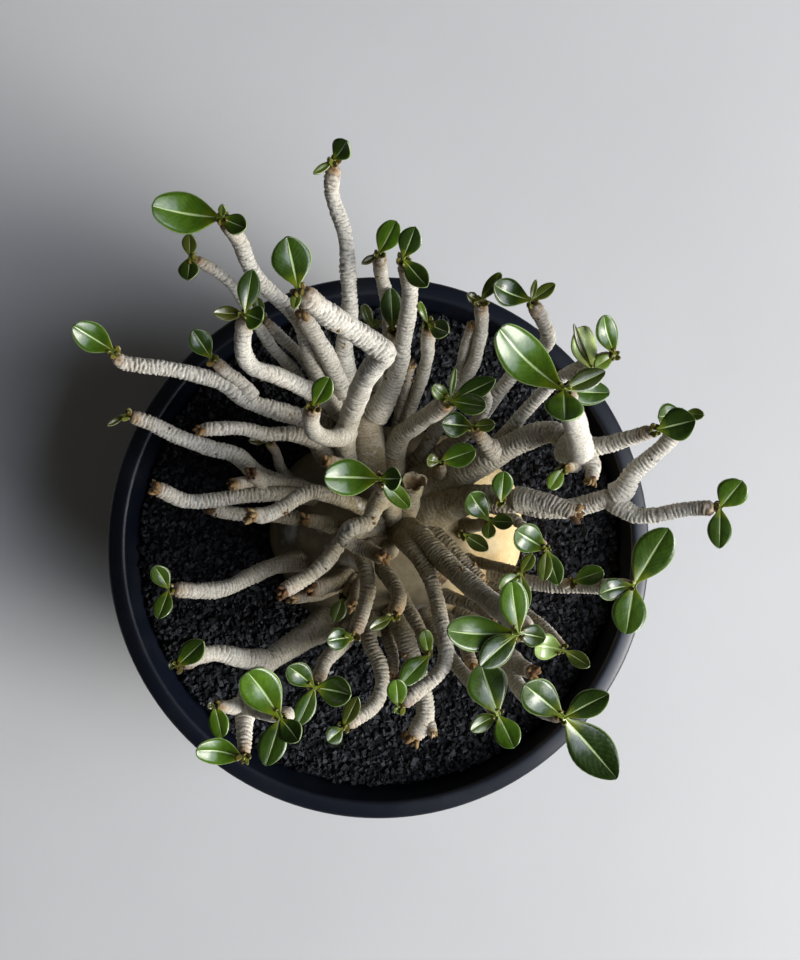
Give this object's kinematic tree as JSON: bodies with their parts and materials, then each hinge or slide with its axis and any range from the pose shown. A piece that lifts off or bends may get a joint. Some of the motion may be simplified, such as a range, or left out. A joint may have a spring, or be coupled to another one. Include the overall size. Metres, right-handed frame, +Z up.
{
  "type": "potted plant",
  "caption": "Potted desert rose seen from above: a squat swollen caudex with many bare, ringed stems and small tufts of leaves at their tips, growing in grit in a round nursery pot",
  "frame": {"origin": "middle of the pot's foot, on the plane the pot stands on", "axes": "+Z up, +Y towards the top of the picture, +X towards its right; the pot's axis is Z"},
  "size_m": [0.2129, 0.2212, 0.2038],
  "materials": {
    "pot": "satin",
    "soil": "matte",
    "bark": "matte",
    "leaf": "satin"
  },
  "bodies": {
    "root": {"pot": "pot", "soil": "soil", "plant": "bark", "tuft_east_bud": "leaf", "tuft_east_far": "leaf", "tuft_east_fork": "leaf", "tuft_east_inner": "leaf", "tuft_east_low": "leaf", "tuft_east_tuft": "leaf", "tuft_east_twig": "leaf", "tuft_east_upper": "leaf", "tuft_middle_top": "leaf", "tuft_north_back": "leaf", "tuft_north_low": "leaf", "tuft_north_right": "leaf", "tuft_north_slim": "leaf", "tuft_north_tall": "leaf", "tuft_north_twig": "leaf", "tuft_northeast_back": "leaf", "tuft_northeast_crown": "leaf", "tuft_northeast_inner": "leaf", "tuft_northeast_knob": "leaf", "tuft_northeast_low": "leaf", "tuft_northeast_near": "leaf", "tuft_northeast_short": "leaf", "tuft_northeast_thick": "leaf", "tuft_northeast_twig": "leaf", "tuft_northeast_upright": "leaf", "tuft_northwest_back": "leaf", "tuft_northwest_hook": "leaf", "tuft_northwest_long": "leaf", "tuft_northwest_low": "leaf", "tuft_northwest_near": "leaf", "tuft_south_curved": "leaf", "tuft_south_knotty": "leaf", "tuft_south_long": "leaf", "tuft_south_near": "leaf", "tuft_south_short": "leaf", "tuft_south_tiny": "leaf", "tuft_southeast_back": "leaf", "tuft_southeast_inner": "leaf", "tuft_southeast_long": "leaf", "tuft_southeast_near": "leaf", "tuft_southeast_slim": "leaf", "tuft_southwest_down": "leaf", "tuft_southwest_left": "leaf", "tuft_southwest_near": "leaf", "tuft_southwest_short": "leaf", "tuft_southwest_side": "leaf", "tuft_west_elbow": "leaf", "tuft_west_long": "leaf", "tuft_west_low": "leaf", "tuft_west_rising": "leaf", "tuft_west_south": "leaf", "tuft_west_twig": "leaf"}
  },
  "joints": []
}
